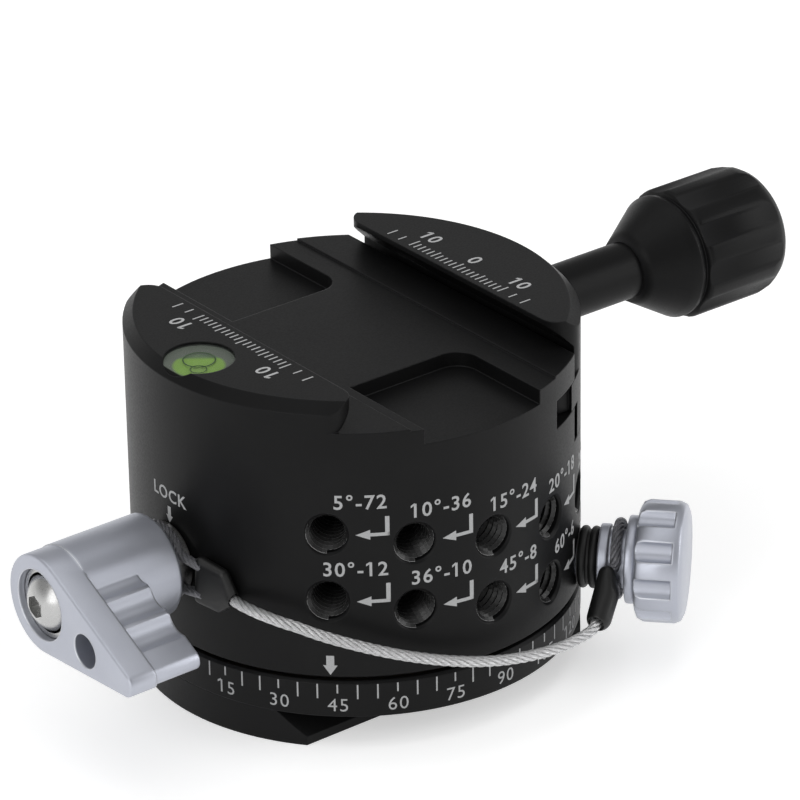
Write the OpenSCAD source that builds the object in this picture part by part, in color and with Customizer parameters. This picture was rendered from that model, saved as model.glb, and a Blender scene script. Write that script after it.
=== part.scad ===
// Panoramic tripod head: an indexing rotator with a disc-shaped dovetail clamp on top.
// Origin: centre of the foot's underside, on the axis that the head turns about.
// +Z is up, +X points along the clamp knob, the clamp channel runs along Y. Millimetres.

/* [Body] */
// Radius of the foot, the dial ring, the housing and both jaws
body_r = 32; // [31.9:0.05:32.1]
// Height of the dovetail foot
foot_h = 4.9; // [4.8:0.05:5]
// Half width of the foot at its long straight sides
foot_half = 20.4; // [20:0.1:20.8]
// Height of the upright part of the foot's long sides, below the undercut
foot_land = 1.3; // [1.1:0.1:1.5]
// Height of the top of the dial ring
dial_top = 10.4; // [10.3:0.05:10.45]
// Height of the underside of the turning housing
head_bottom = 10.9; // [10.85:0.05:10.95]
// Width of the small bevels at the rims of the ring and the housing
rim_bevel = 0.4; // [0.2:0.1:0.5]

/* [Clamp] */
// Height of the jaw tops
jaw_top = 52.9; // [52.8:0.1:53]
// Width of the 45 degree bevel round the top of the jaws
jaw_bevel = 1.5; // [1.2:0.1:1.6]
// Distance from the middle to each jaw's upper lip
lip_x = 17.2; // [17:0.1:17.4]
// Height of the upright land of each lip
lip_land = 0.8; // [0.6:0.1:1]
// Radius of the jaw ends in plan
jaw_end_r = 3; // [2.5:0.1:3.5]
// Height of the two raised lands that carry the plate
land_z = 48.7; // [48.6:0.05:48.8]
// Depth of the middle of the channel below the lands
floor_drop = 0.3; // [0.2:0.05:0.4]
// Distance from the middle to the inner edge of each land
land_x = 12.6; // [12.2:0.1:13]
// Height of the floor of the two pockets
pocket_z = 46.2; // [46:0.1:46.4]
// Height of the ledge below the movable jaw
ledge_z = 35; // [34.9:0.1:35.2]
// Distance from the middle to the upright face of the housing behind the movable jaw
slot_x = 19.15; // [19:0.05:19.3]

/* [Indexing] */
// Radius of the ten threaded holes for the plunger
hole_r = 2.9; // [2.8:0.05:3]
// Angle between neighbouring columns of holes
hole_step = 21.78; // [21.5:0.02:22]
// Distance between neighbouring rows of detents
row_pitch = 1.95; // [1.9:0.01:1.98]
// Radius of the detents in the index drum
detent_r = 0.6; // [0.5:0.05:0.65]
// Radius of the index drum
drum_r = 17.6; // [17.5:0.05:17.65]

/* [Controls] */
// Radius of the clamp knob's grip
grip_r = 9.85; // [9.6:0.05:10]
// Depth of the flutes in the grip
flute_depth = 0.5; // [0.3:0.1:0.7]
// Radius of the lever's round hub
hub_r = 7.45; // [7.3:0.05:7.6]
// Distance from the lever's axis to the centre of its tip
lever_reach = 19.9; // [19:0.1:21]
// Radius of the plunger's lobed knob
plunger_r = 8.7; // [8.4:0.1:9]

/* [Hidden] */
$fn = 64;
eps = 0.01;
run = 0.05;

// heights and radii inside the base and the housing
spigot_r = 23.4;
spigot_top = 9.4;
dial_hole_r = spigot_r + 0.02;
washer_in = 24;
washer_out = 29.5;
keeper_r = 25.95;
keeper_hole_r = 18.2;
keeper_top = 12.2;
flange_r = 20.5;
flange_z = 12.3;
flange_top = 13.2;
flange_room_top = 13.4;
drum_top = 35.4;
cavity_r = 18;
cavity_top = 35.6;

// bearing
race_out_r = 11;
race_in_r = 4;
ball_ring_r = 7.5;
ball_r = 1.6;
groove_r = 1.65;
race_shoulder = 1.1;
bearing_h = 7;
ball_count = 9;
bearing_z = drum_top - bearing_h;

// tripod thread and the screws that hold the drum
thread_r = 4;
relief_r = 5;
relief_top = 15;
screw_ring_r = 13;
screw_r = 1.95;
screw_hole_r = 2.2;
screw_head_r = 3.8;
screw_head_h = 2;
screw_top = 18;
key_r = 1.4;

// channel and jaws
floor_z = land_z - floor_drop;
foot_x = lip_x + (jaw_top - lip_land - land_z);
end_c = [lip_x + jaw_end_r,
    sqrt(pow(body_r - jaw_end_r, 2) - pow(lip_x + jaw_end_r, 2))];
end_a = atan2(end_c[1], end_c[0]);
jaw_gap = 0.1;
pocket_left = -10.8;
pocket_right = 8.7;
pocket_y = 13.5;
pocket_corner = 3.5;

// clamp screw, guide pins and spring
screw_z = 43;
m6_r = 3;
shaft_r = 4.25;
seat_x = 26;
screw_in_x = -6;
screw_bore_x = -8;
spring_room_r = 4.4;
spring_room_x = 11;
pin_y = 13;
pin_r = 2;
pin_in_x = 3.5;
pin_out_x = 25;
pin_bore_x = 2;

// tongues at the two ends of the jaw and the windows they run in
window_x = 12.96;
window_z = 40.4;
window_top = 44.75;
window_y = 22;
tongue_z = 40.5;
tongue_top = 44.66;
tongue_y = 22.3;
tongue_flush_x = 17.87;
tongue_tip_r = 1.85;
tongue_tip_x = 14.2;

// knob
knob_x = 50;
cone_end_x = 57;
grip_x = 58.4;
grip_end_x = 79.4;
flute_count = 10;
flute_r = 6;

// level
level_x = -26.5;
level_y = -0.3;
level_r = 4.95;
level_bottom = 44.5;
level_in_r = 4.25;

// locking lever
lever_z = 23.9;
hub_x = -35.3;
wing_x = -42.5;
lever_x = -50;
lever_front = -53.5;
lever_round_r = 7.3;
lever_tip_r = 1.8;
lever_a = 191.5;
lever_spread = acos((lever_round_r - lever_tip_r) / lever_reach);
wing_line = 5.5;
wing_inset = 1.3;
scallop_r = 2.7;
scallop_depth = 1;
scallop_first = 5.4;
scallop_pitch = 4.6;
lever_hole_r = 2.5;
lever_hole_d = 10.9;
lever_hole_a = 194;
cup_r = 5.2;
m8_r = 4;
collar_r = 5.2;
shoe_r = 5.2;
shoe_x = -24.2;
shoe_room_x = -24.8;
shoe_face_r = drum_r + 0.18;

// index holes: the first column is the one nearest the lever
first_a = -134.4;
upper_z = 33.3;
lower_z = 23;
hole_end = 22.3;
tip_hole_r = 1.6;
upper_counts = [72, 36, 24, 18, 15];
lower_counts = [12, 10, 8, 6, 4];
detent_depth = 0.8;

// plunger, in the lower hole of the last column; t is the distance from the main axis
plunger_a = first_a + 4 * hole_step;
plunger_z = lower_z - 4 * row_pitch;
barrel_r = 2.85;
barrel_t = 22.5;
barrel_wall_t = 23.3;
barrel_end_t = 32.1;
barrel_bore_r = 1.9;
barrel_bore_t = 29.6;
ridge_core_r = 3.8;
ridge_r = 4.3;
ridge_t = 35.1;
ring_r = 4.9;
ring_t = 36.5;
neck_r = 4.3;
neck_t = 38.1;
collar_t = 39.7;
plunger_collar_r = 6.3;
knob_t = 39.8;
knob_end_t = 48.2;
lobe_count = 10;
recess_r = 1.6;
recess_depth = 1.2;
tip_r = 1.5;
tip_t = drum_r + 0.18;
tip_flange_r = 1.8;
tip_flange_t = 24.3;

// lanyard: a wire rope with a sleeve and an eye at each end
rope_r = 0.8;
eye_wire_r = 0.75;
lever_eye_r = 6.05;
lever_eye_x = -33.75;
// the flattened sleeve beside the lever: its five corners and the mouth for the rope
lever_sleeve = [[-32.4, -7.6, 26.1], [-31.4, -11.1, 25.3], [-31.1, -12, 23.4], [-31.6, -10.4, 20.2],
    [-32.5, -7.3, 20.6]];
lever_sleeve_r = 0.9;
lever_mouth = [-30.95, -12.3, 22];
lever_mouth_r = 1.1;
rope = [[-30.9, -12.9, 21.9], [-30.8, -14.2, 21.75], [-30.5, -15.9, 21.65], [-29.9, -17.8, 21.4],
    [-28.5, -20.6, 20.9], [-27.2, -22.2, 20.4], [-25, -24.8, 19.4],
    [-22, -27.5, 18.2], [-18.6, -29.9, 16.9], [-15, -31.8, 15.6], [-11, -33.4, 14.3],
    [-7, -34.7, 13.2], [-3, -35.6, 12.3], [1, -36.1, 11.6], [5, -36.3, 11.1],
    [8.6, -36.2, 10.8], [12, -35.6, 10.6], [14.2, -35.1, 10.6], [15.7, -34.85, 10.95]];
eye_t = 37.3;
plunger_eye_r = 5.2;
// the plunger's sleeve: top, middle and mouth, as s, t and z of eye_point, then the radius
plunger_sleeve = [[-6.3, 36.8, 0.8, 1.2], [-8, 37.1, -1.5, 1.5], [-10.5, 36.3, -3.3, 1.45]];

// colours
black_c = [0.09, 0.09, 0.09];
silver_c = [0.72, 0.76, 0.82];
steel_c = [0.75, 0.76, 0.77];
bronze_c = [0.65, 0.5, 0.3];
green_c = [0.35, 0.8, 0.3];
glass_c = [0.9, 0.97, 0.92];

// local Z runs outward at the given angle and height; x = 0 there is the main axis
module radial(a, z) {
    rotate([0, 0, a]) translate([0, 0, z]) rotate([0, 90, 0]) children();
}

// a round piece of radius r, from distance t0 to t1 along the radial axis
module bar(t0, t1, r) {
    translate([0, 0, t0]) cylinder(h = t1 - t0, r = r);
}

// local Z runs along +X at height z
module along_x(z) {
    translate([0, 0, z]) rotate([0, 90, 0]) children();
}

// a flat shape drawn in (Y, Z - lever_z), made solid from x0 to x1
module slab(x0, x1) {
    translate([x0, 0, lever_z]) rotate([90, 0, 90]) linear_extrude(x1 - x0) children();
}

// a shape drawn in (X, Z), made solid across the whole body
module across() {
    translate([0, body_r + 1, 0]) rotate([90, 0, 0]) linear_extrude(2 * body_r + 2) children();
}

function unit(v) = v / norm(v);
function heading(p, i) = unit(p[min(i + 1, len(p) - 1)] - p[max(i - 1, 0)]);
function turned(a) = [cos(a), sin(a)];

// a tube of radius r along the points p; side never lies along the tube
module tube(p, r, side, sides = 8) {
    rings = [for (i = [0 : len(p) - 1])
        let (t = heading(p, i), n = unit(cross(t, side)), b = cross(t, n))
        for (k = [0 : sides - 1])
            let (a = 360 * k / sides)
            p[i] + r * (cos(a) * n + sin(a) * b)];
    last = (len(p) - 1) * sides;
    walls = [for (i = [0 : len(p) - 2], k = [0 : sides - 1])
        let (a = i * sides + k, b = i * sides + (k + 1) % sides)
        [a, a + sides, b + sides, b]];
    first_cap = [for (k = [0 : sides - 1]) k];
    last_cap = [for (k = [sides - 1 : -1 : 0]) last + k];
    polyhedron(rings, concat(walls, [first_cap, last_cap]), convexity = 10);
}

// the round outside of the housing and the jaws, with the bevel round the top
module drum_outside() {
    rotate_extrude() polygon([[0, head_bottom], [body_r - rim_bevel, head_bottom],
        [body_r, head_bottom + rim_bevel], [body_r, jaw_top - jaw_bevel],
        [body_r - jaw_bevel, jaw_top], [0, jaw_top]]);
}

// what the rounded jaw ends leave away, for the jaw on the +X side
module jaw_ends(z0) {
    for (s = [-1, 1])
        scale([1, s, 1]) translate([end_c[0], end_c[1], z0]) linear_extrude(jaw_top - z0 + 1)
            difference() {
                polygon([[0, 0], 20 * turned(end_a), 20 * turned(110), 20 * turned(180)]);
                circle(r = jaw_end_r);
            }
}

module base_plate() {
    color(black_c) difference() {
        union() {
            intersection() {
                cylinder(h = foot_h, r = body_r);
                rotate([90, 0, 90]) translate([0, 0, -body_r - 1]) linear_extrude(2 * body_r + 2)
                    polygon([[-foot_half, 0], [foot_half, 0], [foot_half, foot_land],
                        [foot_half - foot_h + foot_land, foot_h],
                        [foot_h - foot_land - foot_half, foot_h],
                        [-foot_half, foot_land]]);
            }
            translate([0, 0, foot_h - eps]) cylinder(h = spigot_top - foot_h + eps, r = spigot_r);
        }
        translate([0, 0, -eps]) cylinder(h = spigot_top + 1, r = thread_r);
        for (a = [45 : 90 : 315])
            rotate([0, 0, a]) translate([screw_ring_r, 0, 0]) {
                translate([0, 0, -eps]) cylinder(h = spigot_top + 1, r = screw_hole_r);
                translate([0, 0, -eps]) cylinder(h = screw_head_h + eps,
                    r1 = screw_head_r + 0.1, r2 = screw_hole_r);
            }
    }
}

module dial_ring() {
    color(black_c) rotate_extrude() polygon([[dial_hole_r, foot_h], [body_r, foot_h],
        [body_r, dial_top - rim_bevel], [body_r - rim_bevel, dial_top], [dial_hole_r, dial_top]]);
}

module index_drum() {
    color(steel_c) difference() {
        rotate_extrude() polygon([[0, spigot_top], [drum_r, spigot_top], [drum_r, flange_z],
            [flange_r, flange_z], [flange_r, flange_top], [drum_r, flange_top],
            [drum_r, drum_top], [0, drum_top]]);
        translate([0, 0, bearing_z]) cylinder(h = bearing_h + 1, r = race_out_r + 0.02);
        translate([0, 0, bearing_z - 3]) cylinder(h = 4, r = race_out_r - 2);
        translate([0, 0, spigot_top - 1]) cylinder(h = relief_top - spigot_top + 1, r = relief_r);
        for (a = [45 : 90 : 315])
            rotate([0, 0, a]) translate([screw_ring_r, 0, spigot_top - 1])
                cylinder(h = screw_top - spigot_top + 2, r = screw_r + 0.05);
        for (row = [0 : 4]) {
            detents(upper_z - row * row_pitch, upper_counts[row], row);
            detents(lower_z - row * row_pitch, lower_counts[row], row);
        }
    }
}

// one ring of detents, with one of them behind the hole of its own column
module detents(z, count, column) {
    for (i = [0 : count - 1])
        radial(first_a + column * hole_step + i * 360 / count, z)
            translate([0, 0, drum_r - detent_depth]) cylinder(h = detent_depth + 1, r = detent_r, $fn = 8);
}

module drum_screws() {
    color(steel_c) for (a = [45 : 90 : 315])
        rotate([0, 0, a]) translate([screw_ring_r, 0, 0]) difference() {
            union() {
                translate([0, 0, 0.05]) cylinder(h = screw_head_h - 0.05, r1 = screw_head_r, r2 = screw_r);
                translate([0, 0, screw_head_h]) cylinder(h = screw_top - screw_head_h, r = screw_r);
            }
            translate([0, 0, -1]) cylinder(h = 2.4, r = key_r, $fn = 6);
        }
}

module thrust_washer() {
    color(bronze_c) translate([0, 0, dial_top]) difference() {
        cylinder(h = head_bottom - dial_top - 0.02, r = washer_out);
        translate([0, 0, -1]) cylinder(h = 3, r = washer_in);
    }
}

module race_groove() {
    translate([0, 0, bearing_z + bearing_h / 2]) rotate_extrude()
        translate([ball_ring_r, 0]) circle(r = groove_r);
}

module bearing_outer_race() {
    color(steel_c) difference() {
        translate([0, 0, bearing_z]) cylinder(h = bearing_h, r = race_out_r);
        translate([0, 0, bearing_z - 1]) cylinder(h = bearing_h + 2, r = ball_ring_r + race_shoulder);
        race_groove();
    }
}

module bearing_inner_race() {
    color(steel_c) difference() {
        translate([0, 0, bearing_z]) cylinder(h = bearing_h, r = ball_ring_r - race_shoulder);
        translate([0, 0, bearing_z - 1]) cylinder(h = bearing_h + 2, r = race_in_r);
        race_groove();
    }
}

module bearing_balls() {
    color(steel_c) for (i = [0 : ball_count - 1])
        rotate([0, 0, i * 360 / ball_count])
            translate([ball_ring_r, 0, bearing_z + bearing_h / 2]) sphere(r = ball_r, $fn = 24);
}

module head_housing() {
    color(black_c) difference() {
        intersection() {
            drum_outside();
            across() polygon([[-body_r - 1, head_bottom], [body_r + 1, head_bottom],
                [body_r + 1, ledge_z], [slot_x, ledge_z], [slot_x, land_z], [land_x, land_z],
                [land_x, floor_z], [-land_x, floor_z], [-land_x, land_z], [-foot_x, land_z],
                [-lip_x, jaw_top - lip_land], [-lip_x, jaw_top], [-body_r - 1, jaw_top]]);
        }
        mirror([1, 0, 0]) jaw_ends(land_z);
        for (s = [-1, 1]) scale([1, s, 1]) pocket();
        // room for the drum and its keeper
        translate([0, 0, head_bottom - 1]) cylinder(h = keeper_top - head_bottom + 1, r = keeper_r + 0.05);
        translate([0, 0, keeper_top - eps]) cylinder(h = flange_room_top - keeper_top + eps, r = flange_r + 0.4);
        difference() {
            translate([0, 0, keeper_top]) cylinder(h = cavity_top - keeper_top, r = cavity_r);
            translate([0, 0, bearing_z + 0.2]) cylinder(h = bearing_h + 1, r = race_in_r - 0.02);
        }
        // index holes
        for (i = [0 : 4]) {
            index_hole(first_a + i * hole_step, upper_z - i * row_pitch);
            index_hole(first_a + i * hole_step, lower_z - i * row_pitch);
        }
        // lock
        along_x(lever_z) bar(-body_r - 1, -cavity_r, m8_r + run);
        along_x(lever_z) bar(shoe_room_x, 2 - cavity_r, shoe_r + run);
        // clamp screw, spring and guide pins
        along_x(screw_z) bar(screw_bore_x, slot_x + 1, m6_r + run);
        along_x(screw_z) bar(spring_room_x, slot_x + 1, spring_room_r);
        for (s = [-1, 1])
            translate([0, s * pin_y, 0]) along_x(screw_z) bar(pin_bore_x, slot_x + 1, pin_r + run);
        // windows for the tongues
        for (s = [-1, 1])
            scale([1, s, 1]) translate([window_x, window_y, window_z])
                cube([slot_x - window_x + 1, body_r, window_top - window_z]);
        translate([level_x, level_y, level_bottom - 0.05]) cylinder(h = 10, r = level_r + 0.03);
    }
}

module pocket() {
    translate([0, 0, pocket_z]) linear_extrude(5) {
        translate([pocket_left, pocket_y + pocket_corner])
            square([pocket_right - pocket_left, body_r]);
        translate([pocket_left, pocket_y])
            square([pocket_right - pocket_left - pocket_corner, pocket_corner + 1]);
        translate([pocket_right - pocket_corner, pocket_y + pocket_corner]) circle(r = pocket_corner);
    }
}

module index_hole(a, z) {
    radial(a, z) {
        bar(hole_end, body_r + 1, hole_r);
        bar(cavity_r - 1, hole_end + 1, tip_hole_r);
        translate([0, 0, body_r - 0.4]) cylinder(h = 0.8, r1 = hole_r, r2 = hole_r + 0.8);
    }
}

module retaining_ring() {
    color(steel_c) difference() {
        translate([0, 0, head_bottom]) cylinder(h = keeper_top - head_bottom, r = keeper_r);
        translate([0, 0, head_bottom - 1]) cylinder(h = 4, r = keeper_hole_r);
        for (a = [0 : 90 : 270])
            rotate([0, 0, a]) translate([22, 0, head_bottom - 1]) cylinder(h = 4, r = 1);
    }
}

module level_cup() {
    color(steel_c) translate([level_x, level_y, 0]) difference() {
        translate([0, 0, level_bottom]) cylinder(h = jaw_top - level_bottom, r = level_r);
        translate([0, 0, level_bottom + 1]) cylinder(h = 10, r = level_in_r);
    }
}

module level_fluid() {
    color(green_c) translate([level_x, level_y, level_bottom + 1])
        cylinder(h = jaw_top - level_bottom - 1.9, r = level_in_r - 0.02);
}

module level_lens() {
    color(glass_c) translate([level_x, level_y, jaw_top - 0.9])
        cylinder(h = 0.8, r = level_in_r - 0.02);
}

module lanyard_rope() {
    color(steel_c) tube(rope, rope_r, [0, 0, 1]);
}

module lever_eye() {
    c = [lever_eye_x, 0, lever_z];
    color(steel_c) tube(concat([lever_sleeve[0] + [-0.4, 0.2, -0.5]],
        [for (a = [150 : -20 : -150]) c + lever_eye_r * [0, cos(a), sin(a)]],
        [lever_sleeve[4] + [-0.3, 0, 0.6]]), eye_wire_r, [1, 0, 0]);
}

module lever_sleeve_crimp() {
    color(black_c) hull() {
        for (p = lever_sleeve) translate(p) sphere(r = lever_sleeve_r, $fn = 20);
        translate(lever_mouth) sphere(r = lever_mouth_r, $fn = 20);
    }
}

module movable_jaw() {
    color(black_c) difference() {
        union() {
            difference() {
                intersection() {
                    drum_outside();
                    across() polygon([[foot_x, ledge_z + jaw_gap], [body_r + 1, ledge_z + jaw_gap],
                        [body_r + 1, jaw_top], [lip_x, jaw_top], [lip_x, jaw_top - lip_land],
                        [foot_x, land_z]]);
                }
                jaw_ends(tongue_top);
            }
            for (s = [-1, 1]) scale([1, s, 1]) tongue();
        }
        along_x(screw_z) bar(slot_x, seat_x + 1, m6_r + 0.2);
        along_x(screw_z) bar(seat_x, body_r + 1, shaft_r + run);
        for (s = [-1, 1])
            translate([0, s * pin_y, 0]) along_x(screw_z) bar(slot_x, pin_out_x, pin_r + 0.01);
    }
}

module tongue() {
    intersection() {
        translate([0, 0, tongue_z]) cylinder(h = tongue_top - tongue_z, r = body_r);
        union() {
            translate([tongue_flush_x, tongue_y, tongue_z])
                cube([foot_x - tongue_flush_x + 1, body_r, tongue_top - tongue_z]);
            translate([tongue_tip_x + tongue_tip_r, tongue_y, tongue_z])
                cube([foot_x - tongue_tip_x, 2 * tongue_tip_r, tongue_top - tongue_z]);
            translate([tongue_tip_x + tongue_tip_r, tongue_y + tongue_tip_r, tongue_z])
                cylinder(h = tongue_top - tongue_z, r = tongue_tip_r);
        }
    }
}

module jaw_guide_pins() {
    color(steel_c) for (s = [-1, 1])
        translate([0, s * pin_y, 0]) along_x(screw_z) bar(pin_in_x, pin_out_x - 0.05, pin_r);
}

// a coil of the given turns between two distances along local Z
module coil(z0, z1, r, wire_r, turns) {
    steps = 12;
    tube([for (i = [0 : turns * steps])
        let (a = i * 360 / steps) [r * cos(a), r * sin(a), z0 + wire_r + (z1 - z0 - 2 * wire_r) * i / (turns * steps)]],
        wire_r, [0, 0, 1], 6);
}

module jaw_spring() {
    color(steel_c) along_x(screw_z) coil(spring_room_x + run, foot_x - run, 3.75, 0.4, 6);
}

module clamp_screw() {
    color(steel_c) along_x(screw_z) bar(screw_in_x, seat_x + run, m6_r);
}

module knob_shaft() {
    color(black_c) along_x(screw_z) bar(seat_x + run, knob_x, shaft_r);
}

module knob_grip() {
    color(black_c) along_x(screw_z) difference() {
        rotate_extrude() polygon([[0, knob_x], [4.9, knob_x], [9.2, cone_end_x], [9.2, cone_end_x + 0.6],
            [8.9, cone_end_x + 0.7], [8.9, grip_x - 0.1], [grip_r - 0.6, grip_x], [grip_r - 0.15, grip_x + 0.25],
            [grip_r, grip_x + 0.8], [grip_r, grip_end_x - 3.4], [grip_r - 0.3, grip_end_x - 1.9],
            [grip_r - 1, grip_end_x - 0.7], [8.2, grip_end_x - 0.1], [7.4, grip_end_x], [0, grip_end_x]]);
        for (i = [0 : flute_count - 1])
            rotate([0, 0, (i + 0.5) * 360 / flute_count])
                translate([grip_r - flute_depth + flute_r, 0, grip_x - eps])
                    cylinder(h = grip_end_x, r = flute_r);
    }
}

module brake_shoe() {
    color(bronze_c) difference() {
        along_x(lever_z) bar(shoe_x, 1 - cavity_r, shoe_r);
        translate([0, 0, lever_z - 10]) cylinder(h = 20, r = shoe_face_r);
    }
}

module lock_spindle() {
    color(steel_c) along_x(lever_z) difference() {
        union() {
            bar(-48, shoe_x - run, m8_r);
            bar(hub_x, -body_r - 0.3, collar_r);
        }
        bar(-49, -36, m6_r - 0.5);
    }
}

module lever_outline(less) {
    tip = lever_reach * turned(lever_a);
    n0 = turned(lever_a - lever_spread);
    n1 = turned(lever_a + lever_spread);
    circle(r = lever_round_r - less);
    translate(tip) circle(r = lever_tip_r - less);
    polygon([(lever_round_r - less) * n0, tip + (lever_tip_r - less) * n0,
        tip + (lever_tip_r - less) * n1, (lever_round_r - less) * n1]);
}

module wing_outline() {
    tip = lever_reach * turned(lever_a);
    n0 = turned(lever_a - lever_spread);
    n1 = turned(lever_a + lever_spread);
    e0 = [-n0[1], n0[0]];
    difference() {
        polygon([[0, 0], wing_line * n0, wing_line * n0 + (lever_reach - 0.3) * e0,
            tip + (lever_tip_r - wing_inset) * n1, (lever_round_r - wing_inset) * n1]);
        for (i = [0 : 2])
            translate((wing_line + scallop_r - scallop_depth) * n0 + (scallop_first + i * scallop_pitch) * e0)
                circle(r = scallop_r);
    }
}

module lock_lever() {
    color(silver_c) difference() {
        union() {
            slab(lever_front, lever_x) lever_outline(0);
            slab(lever_x - eps, wing_x) wing_outline();
            along_x(lever_z) translate([0, 0, lever_x]) cylinder(h = hub_x - 0.5 - lever_x, r = hub_r);
            along_x(lever_z) translate([0, 0, hub_x - 0.5]) cylinder(h = 0.5, r1 = hub_r, r2 = hub_r - 0.5);
        }
        along_x(lever_z) bar(-48.1, hub_x + 1, m8_r + 0.02);
        along_x(lever_z) bar(lever_x - 1, -47, m6_r - 0.3);
        along_x(lever_z) bar(lever_front - 1, lever_x, cup_r);
        slab(lever_front - 1, wing_x + 1)
            translate(lever_hole_d * turned(lever_hole_a)) circle(r = lever_hole_r);
    }
}

module lever_washer() {
    color(steel_c) along_x(lever_z) difference() {
        bar(lever_x - 0.8, lever_x, cup_r - 0.1);
        bar(lever_x - 2, lever_x + 2, m6_r - 0.3);
    }
}

module lever_screw() {
    color(steel_c) along_x(lever_z) difference() {
        union() {
            bar(lever_x - 0.8, -37, m6_r - 0.55);
            intersection() {
                bar(lever_front, lever_x - 0.8, 4.4);
                translate([0, 0, lever_front + 4.9]) sphere(r = 4.9);
            }
        }
        translate([0, 0, lever_front - 1]) cylinder(h = 3, r = 1.75, $fn = 6);
    }
}

// a point beside the plunger: s across its axis, t along it, z above it
function eye_point(s, t, z) = [t * cos(plunger_a) - s * sin(plunger_a),
    t * sin(plunger_a) + s * cos(plunger_a), plunger_z + z];

module plunger_eye() {
    color(steel_c) tube(concat([eye_point(-6.2, eye_t - 0.3, 0.9)],
        [for (a = [165 : -15 : -165]) eye_point(plunger_eye_r * cos(a), eye_t, plunger_eye_r * sin(a))],
        [eye_point(-6.6, eye_t - 0.3, -0.8)]),
        eye_wire_r - 0.02, [cos(plunger_a), sin(plunger_a), 0]);
}

module plunger_sleeve_crimp() {
    color(black_c) hull() for (p = plunger_sleeve)
        translate(eye_point(p[0], p[1], p[2])) sphere(r = p[3], $fn = 20);
}

module plunger_barrel() {
    color(silver_c) radial(plunger_a, plunger_z) difference() {
        union() {
            bar(barrel_t, barrel_end_t, barrel_r);
            bar(barrel_end_t - eps, ridge_t, ridge_core_r - 0.02);
            bar(ridge_t, ring_t, ring_r);
            bar(ring_t - eps, neck_t + eps, neck_r);
            bar(neck_t, collar_t, plunger_collar_r);
        }
        bar(barrel_wall_t, barrel_bore_t, barrel_bore_r);
        bar(barrel_t - 1, barrel_wall_t + 1, tip_r + run);
    }
}

module plunger_ridges() {
    color(black_c) radial(plunger_a, plunger_z) difference() {
        union() {
            bar(barrel_end_t, ridge_t - 0.02, ridge_core_r + 0.15);
            for (t = [barrel_end_t + 0.2, barrel_end_t + 1.7])
                bar(t, t + 1.1, ridge_r);
        }
        bar(barrel_end_t - 1, ridge_t + 1, ridge_core_r);
    }
}

module plunger_knob() {
    color(silver_c) radial(plunger_a, plunger_z) difference() {
        rotate_extrude() polygon([[0, knob_t], [plunger_r - 1.2, knob_t], [plunger_r - 0.4, knob_t + 0.35],
            [plunger_r, knob_t + 1.2], [plunger_r, knob_end_t - 1.2], [plunger_r - 0.4, knob_end_t - 0.35],
            [plunger_r - 1.2, knob_end_t], [0, knob_end_t]]);
        for (i = [0 : lobe_count - 1])
            rotate([0, 0, (i + 0.5) * 360 / lobe_count])
                translate([plunger_r - recess_depth + recess_r, 0, knob_t - 1])
                    cylinder(h = knob_end_t - knob_t + 2, r = recess_r);
    }
}

module index_pin() {
    color(steel_c) radial(plunger_a, plunger_z) {
        bar(tip_t + 0.5, tip_flange_t, tip_r);
        translate([0, 0, tip_t]) cylinder(h = 0.5, r1 = 0.9, r2 = tip_r);
        bar(barrel_wall_t + run, tip_flange_t, tip_flange_r);
    }
}

module pin_spring() {
    color(steel_c) radial(plunger_a, plunger_z)
        coil(tip_flange_t + run, barrel_bore_t - run, 1.45, 0.2, 7);
}

base_plate();
dial_ring();
index_drum();
drum_screws();
thrust_washer();
bearing_outer_race();
bearing_balls();
bearing_inner_race();
head_housing();
retaining_ring();
level_cup();
level_fluid();
level_lens();
lanyard_rope();
lever_eye();
lever_sleeve_crimp();
movable_jaw();
jaw_guide_pins();
jaw_spring();
clamp_screw();
knob_shaft();
knob_grip();
brake_shoe();
lock_spindle();
lock_lever();
lever_washer();
lever_screw();
plunger_eye();
plunger_sleeve_crimp();
plunger_barrel();
plunger_ridges();
plunger_knob();
index_pin();
pin_spring();
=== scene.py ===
"""A panoramic tripod head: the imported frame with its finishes, printing, threads, level and lanyard."""
from math import acos, ceil, cos, degrees, pi, radians, sin

import bmesh
import bpy
from mathutils import Matrix, Vector


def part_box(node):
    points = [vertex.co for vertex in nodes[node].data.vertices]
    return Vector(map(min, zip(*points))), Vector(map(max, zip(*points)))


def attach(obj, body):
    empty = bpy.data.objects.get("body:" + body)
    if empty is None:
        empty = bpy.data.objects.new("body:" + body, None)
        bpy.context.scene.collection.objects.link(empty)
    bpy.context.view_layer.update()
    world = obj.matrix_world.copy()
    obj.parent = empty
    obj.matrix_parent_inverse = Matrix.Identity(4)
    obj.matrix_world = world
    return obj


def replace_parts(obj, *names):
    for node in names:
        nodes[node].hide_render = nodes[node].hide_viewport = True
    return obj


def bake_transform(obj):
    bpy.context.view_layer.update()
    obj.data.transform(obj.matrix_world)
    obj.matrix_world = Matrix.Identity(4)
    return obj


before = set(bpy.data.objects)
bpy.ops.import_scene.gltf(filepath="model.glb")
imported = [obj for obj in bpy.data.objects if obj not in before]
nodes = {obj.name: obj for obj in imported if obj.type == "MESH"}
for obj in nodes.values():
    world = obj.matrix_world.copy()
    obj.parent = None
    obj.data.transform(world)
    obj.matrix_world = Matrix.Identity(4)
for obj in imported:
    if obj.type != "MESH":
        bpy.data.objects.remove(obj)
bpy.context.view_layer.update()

scene = bpy.context.scene
MM = 0.001

# ---------------------------------------------------------------- sizes, in millimetres and degrees
# the housing: its wall, the bevel round its top and the two rows of index holes
WALL_R, WALL_BEVEL = 32.0, 1.52
JAW_TOP = 52.9
FIRST_COLUMN, COLUMN_STEP, ROW_FALL = -134.4, 21.78, 1.95
HOLE_COLUMNS = [FIRST_COLUMN + COLUMN_STEP * i for i in range(5)]
UPPER_ROW = [33.3 - ROW_FALL * i for i in range(5)]
LOWER_ROW = [23.0 - ROW_FALL * i for i in range(5)]

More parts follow.
